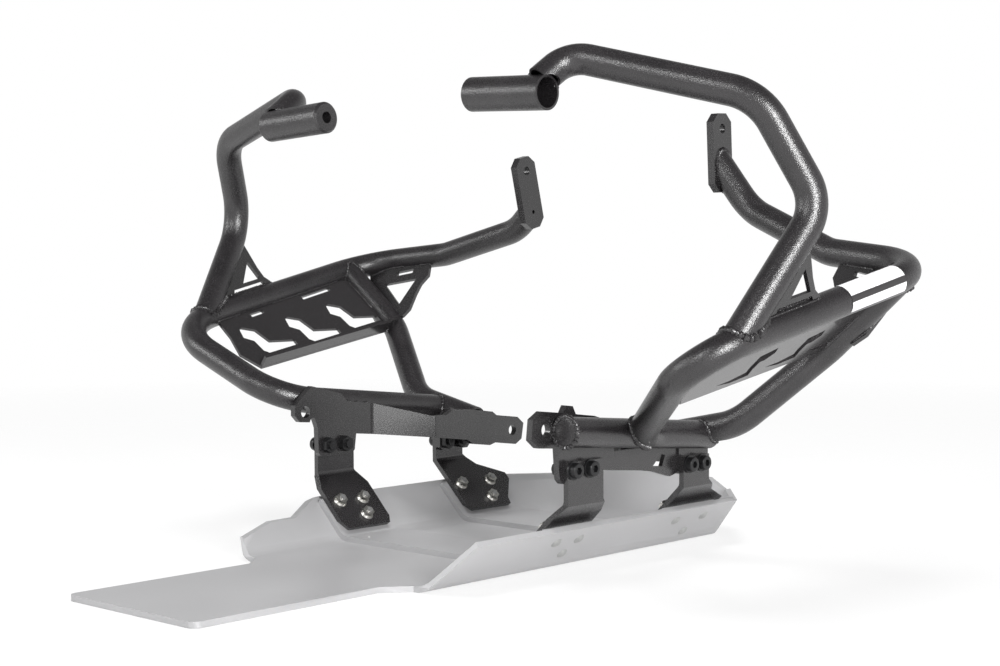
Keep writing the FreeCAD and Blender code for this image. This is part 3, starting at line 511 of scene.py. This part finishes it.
for half, (corner, along, down, inward) in PANEL_FRAMES.items():
    corner, along, down, inward = Vector(corner), Vector(along), Vector(down), Vector(inward)
    fold = [corner + along * u + down * v for u, v in FOLD]
    strip = [fold[0], fold[1], fold[1] - down * PANEL_GAUGE, fold[0] - down * PANEL_GAUGE]
    flange = slab([point + inward * FLANGE_START for point in strip], inward * (PANEL_FLANGE - PANEL_GAUGE))
    if half == "left":
        finished("panel_flange_left", flange, sheet_coat, SHEET_CREASE)
        continue
    panel = slab([corner + along * u + down * v for u, v in PANEL_OUTLINE], inward * PANEL_GAUGE)
    holes = [[(u + right, v + lower) for u, v in LIGHTNING] for right, lower in LIGHTNING_STEPS]
    holes += [[(start, SLOT_TOP), (start, SLOT_BOTTOM), (end, SLOT_BOTTOM), (end, SLOT_TOP)]
              for start, end in PANEL_SLOTS]
    for hole in holes:
        bottom = [corner + along * u + down * v - inward * PANEL_GAUGE for u, v in hole]
        panel = combined(panel, slab(bottom, inward * PANEL_GAUGE * 3))
    panel = combined(panel, flange, "UNION")
    folded_panel = finished("folded_panel_right", panel, sheet_coat, SHEET_CREASE)
    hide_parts("guard_panel_right")


# The weld beads: a run of small overlapping puddles round every joint of the bars, under
# the same coat. Each follows the notched edge of one piece where it lies on the next.
BEAD_RADIUS = 0.0021
FOOT_BEAD_RADIUS = 0.0036
END_BEAD_RADIUS = 0.0032
SHEET_BEAD_RADIUS = 0.0015
BEAD_TIP = 0.45
BEAD_TIP_GROWTH = 0.18
BEAD_CREASE = 60
SWELL = (0.9, 1.2)
RIPPLE_LENGTH = 0.003
RIPPLE_DEPTH = 0.4
BEAD_STEP = 0.0006
EASINGS = 4
FEWEST_POINTS = 4
GUSSET_SHORTEST_SEAM = 0.005
CLOSED_WITHIN = 0.001
SEAM_MERGE_DISTANCE = 0.00002
SEAM_REACH = 0.0005
SEAM_ANGLE = math.radians(25)
bead_random = random.Random(7)


def middle(edge):
    """The middle of an edge, which also sorts edges in the same order each time."""
    return tuple(sum((vert.co for vert in edge.verts), Vector()) / 2)


def seams(node, other):
    """The paths, longest first, along which a node's sharp edges lie on another node."""
    mesh = merged(node, SEAM_MERGE_DISTANCE)
    neighbour = BVHTree.FromObject(nodes[other], bpy.context.evaluated_depsgraph_get())
    close = {vert for vert in mesh.verts if neighbour.find_nearest(vert.co, SEAM_REACH)[0] is not None}
    edges = [edge for edge in mesh.edges if edge.verts[0] in close and edge.verts[1] in close
             and len(edge.link_faces) == 2 and edge.calc_face_angle(0) > SEAM_ANGLE]
    edges.sort(key=middle)
    paths = []
    while edges:
        first = edges.pop(0)
        path = sorted(first.verts, key=lambda vert: tuple(vert.co))
        for end, before in ((0, 1), (-1, -2)):
            while True:
                tip = path[end]
                heading = tip.co - path[before].co
                ways = [edge for edge in tip.link_edges if edge in edges]
                if not ways:
                    break
                onward = min(ways, key=lambda edge: heading.angle(edge.other_vert(tip).co - tip.co))
                edges.remove(onward)
                path.insert(0 if end == 0 else len(path), onward.other_vert(tip))
        paths.append([vert.co.copy() for vert in path])
    mesh.free()
    return sorted(paths, key=lambda path: -route_length(path))


def route_length(path):
    """The length of a path."""
    return sum((after - before).length for before, after in zip(path, path[1:]))


def evenly(path, step):
    """The path's points again, spaced evenly."""
    points = [path[0]]
    spare = 0.0
    for before, after in zip(path, path[1:]):
        span = (after - before).length
        along = step - spare
        while along <= span:
            points.append(before.lerp(after, along / span))
            along += step
        spare = span - (along - step)
    return points


def softened(points, closed):
    """The points with their corners eased, as a bead flows."""
    for _ in range(EASINGS):
        ahead = points[1:] + (points[:1] if closed else points[-1:])
        back = (points[-1:] if closed else points[:1]) + points[:-1]
        points = [(before + point * 2 + after) / 4 for before, point, after in zip(back, points, ahead)]
    return points


def bead_curve(points, closed, radius):
    """A swept round run whose radius swells and narrows once for each puddle."""
    curve = bpy.data.curves.new("bead", "CURVE")
    curve.dimensions = "3D"
    curve.bevel_depth = radius
    curve.bevel_resolution = 2
    curve.use_fill_caps = True
    line = curve.splines.new("POLY")
    line.points.add(len(points) - 1)
    line.use_cyclic_u = closed
    swell = 1.0
    for index, point in enumerate(points):
        phase = (index * BEAD_STEP / RIPPLE_LENGTH) % 1.0
        if phase < BEAD_STEP / RIPPLE_LENGTH:
            swell = bead_random.uniform(*SWELL)
        taper = 1.0 if closed else min(1.0, BEAD_TIP + BEAD_TIP_GROWTH * min(index, len(points) - 1 - index))
        line.points[index].co = (*point, 1)
        line.points[index].radius = taper * (swell - RIPPLE_DEPTH * phase)
    holder = bpy.data.objects.new("bead", curve)
    bpy.context.scene.collection.objects.link(holder)
    bpy.context.view_layer.update()
    data = bpy.data.meshes.new_from_object(holder.evaluated_get(bpy.context.evaluated_depsgraph_get()))
    bpy.data.objects.remove(holder)
    return data


def weld(name, node, others, runs=1, radius=BEAD_RADIUS, shortest=0.012, stretches=((0.0, 1.0),)):
    """The beads along a node's longest seams on its neighbours, whole or in short stretches."""
    mesh = bmesh.new()
    for other in others:
        for path in seams(node, other)[:runs]:
            length = route_length(path)
            if length < shortest:
                continue
            closed = (path[0] - path[-1]).length < CLOSED_WITHIN and stretches == ((0.0, 1.0),)
            points = evenly(path, BEAD_STEP)
            for start, end in stretches:
                part = points[int(start * len(points)):max(int(end * len(points)), FEWEST_POINTS)]
                mesh.from_mesh(bead_curve(softened(part, closed), closed, radius))
    if not mesh.verts:
        mesh.free()
        print("no seam found for", name)
        return None
    return finished(name, mesh, tube_coat, BEAD_CREASE)


STITCHES = ((0.04, 0.3), (0.42, 0.62), (0.76, 0.97))
for half in ("right", "left"):
    weld("weld_upper_foot_" + half, "upper_bar_" + half, ["main_bar_" + half], radius=FOOT_BEAD_RADIUS)
    weld("weld_sleeve_" + half, "upper_bar_" + half, ["sleeve_" + half])
    weld("weld_strut_top_" + half, "front_strut_" + half, ["main_bar_" + half], runs=2)
    weld("weld_strut_arm_" + half, "front_strut_" + half, ["lower_plate_" + half])
    weld("weld_tab_" + half, "main_bar_" + half, ["upper_tab_" + half], radius=END_BEAD_RADIUS)
    weld("weld_plate_" + half, "lower_plate_" + half, ["main_bar_" + half], runs=2, stretches=STITCHES)
    weld("weld_gusset_rear_" + half, "rear_gusset_" + half, ["main_bar_" + half, "upper_bar_" + half],
         runs=2, radius=SHEET_BEAD_RADIUS, shortest=GUSSET_SHORTEST_SEAM)
    weld("weld_gusset_front_" + half, "front_gusset_" + half, ["main_bar_" + half, "front_strut_" + half],
         runs=2, radius=SHEET_BEAD_RADIUS, shortest=GUSSET_SHORTEST_SEAM, stretches=STITCHES)
    weld("weld_panel_" + half, "guard_panel_" + half, ["main_bar_" + half, "front_strut_" + half],
         radius=SHEET_BEAD_RADIUS, stretches=STITCHES)
weld("weld_stub_right", "rear_stub_right", ["main_bar_right"], radius=END_BEAD_RADIUS)

# The rear stub on the right bar is closed by a thin round cap, welded on all round.
STUB_END = Vector((0.1667, -0.032, 0.1248))
STUB_WAY = (Vector((0.1667, 0.074, 0.1158)) - STUB_END).normalized()
TUBE_RADIUS = 0.0127
CAP_RADIUS = 0.0123
CAP_GAUGE = 0.0025
CAP_SUNK = 0.0012
CAP_RIM = 0.0009
CAP_SIDES = 40
CAP_BEAD_RADIUS = 0.0024
CAP_BEAD_POINTS = round(math.tau * TUBE_RADIUS / BEAD_STEP)
cap = bmesh.new()
bmesh.ops.create_circle(cap, segments=CAP_SIDES, radius=CAP_RADIUS, cap_ends=True)
soften_rim(cap, pull(cap, cap.faces[:], (0, 0, CAP_GAUGE))[0], CAP_RIM)
stand_up(cap, STUB_END + STUB_WAY * CAP_SUNK, -STUB_WAY)
finished("stub_cap_right", cap, tube_coat)
sideways = Vector((1, 0, 0))
across = STUB_WAY.cross(sideways).normalized()
cap_seam = []
for step in range(CAP_BEAD_POINTS):
    angle = math.tau * step / CAP_BEAD_POINTS
    cap_seam.append(STUB_END + (sideways * math.cos(angle) + across * math.sin(angle)) * TUBE_RADIUS)
cap_bead = bmesh.new()
cap_bead.from_mesh(bead_curve(cap_seam, True, CAP_BEAD_RADIUS))
finished("weld_stub_cap_right", cap_bead, tube_coat, BEAD_CREASE)

# The label on the right bar's outer run: a white polyester sticker, wrapped round the tube.
# It is bare but for one dark stripe.
RUN_START = Vector((0.321, -0.074, 0.190))
RUN_END = Vector((0.356, 0.223, 0.259))
LABEL_FROM = 0.183
LABEL_LENGTH = 0.072
LABEL_GAUGE = 0.00025
LABEL_RADIUS = TUBE_RADIUS + LABEL_GAUGE
LABEL_LOW = math.radians(-42)
LABEL_HIGH = math.radians(98)
LABEL_COLUMNS = 30
LABEL_ROWS = 28
STRIPE_ROWS = range(8, 13)
label_white = Finish("label_white", Base_Color=(0.80, 0.80, 0.81, 1), Roughness=0.32)
label_dark = Finish("label_stripe", Base_Color=(0.035, 0.033, 0.034, 1), Roughness=0.3)
along = (RUN_END - RUN_START).normalized()
over = (Vector((0, 0, 1)) - along * along.z).normalized()
outward = over.cross(along) * -1
label_mesh = bmesh.new()
bmesh.ops.create_grid(label_mesh, x_segments=LABEL_COLUMNS, y_segments=LABEL_ROWS, size=0.5)
for face in label_mesh.faces:
    row = int((face.calc_center_median().y + 0.5) * LABEL_ROWS)
    face.material_index = 1 if row in STRIPE_ROWS else 0
for vert in label_mesh.verts:
    angle = LABEL_LOW + (vert.co.y + 0.5) * (LABEL_HIGH - LABEL_LOW)
    reach = (outward * math.cos(angle) + over * math.sin(angle)) * LABEL_RADIUS
    vert.co = RUN_START + along * (LABEL_FROM + (vert.co.x + 0.5) * LABEL_LENGTH) + reach
label = finished("label_right", label_mesh, label_white)
label.data.materials.append(label_dark.material)
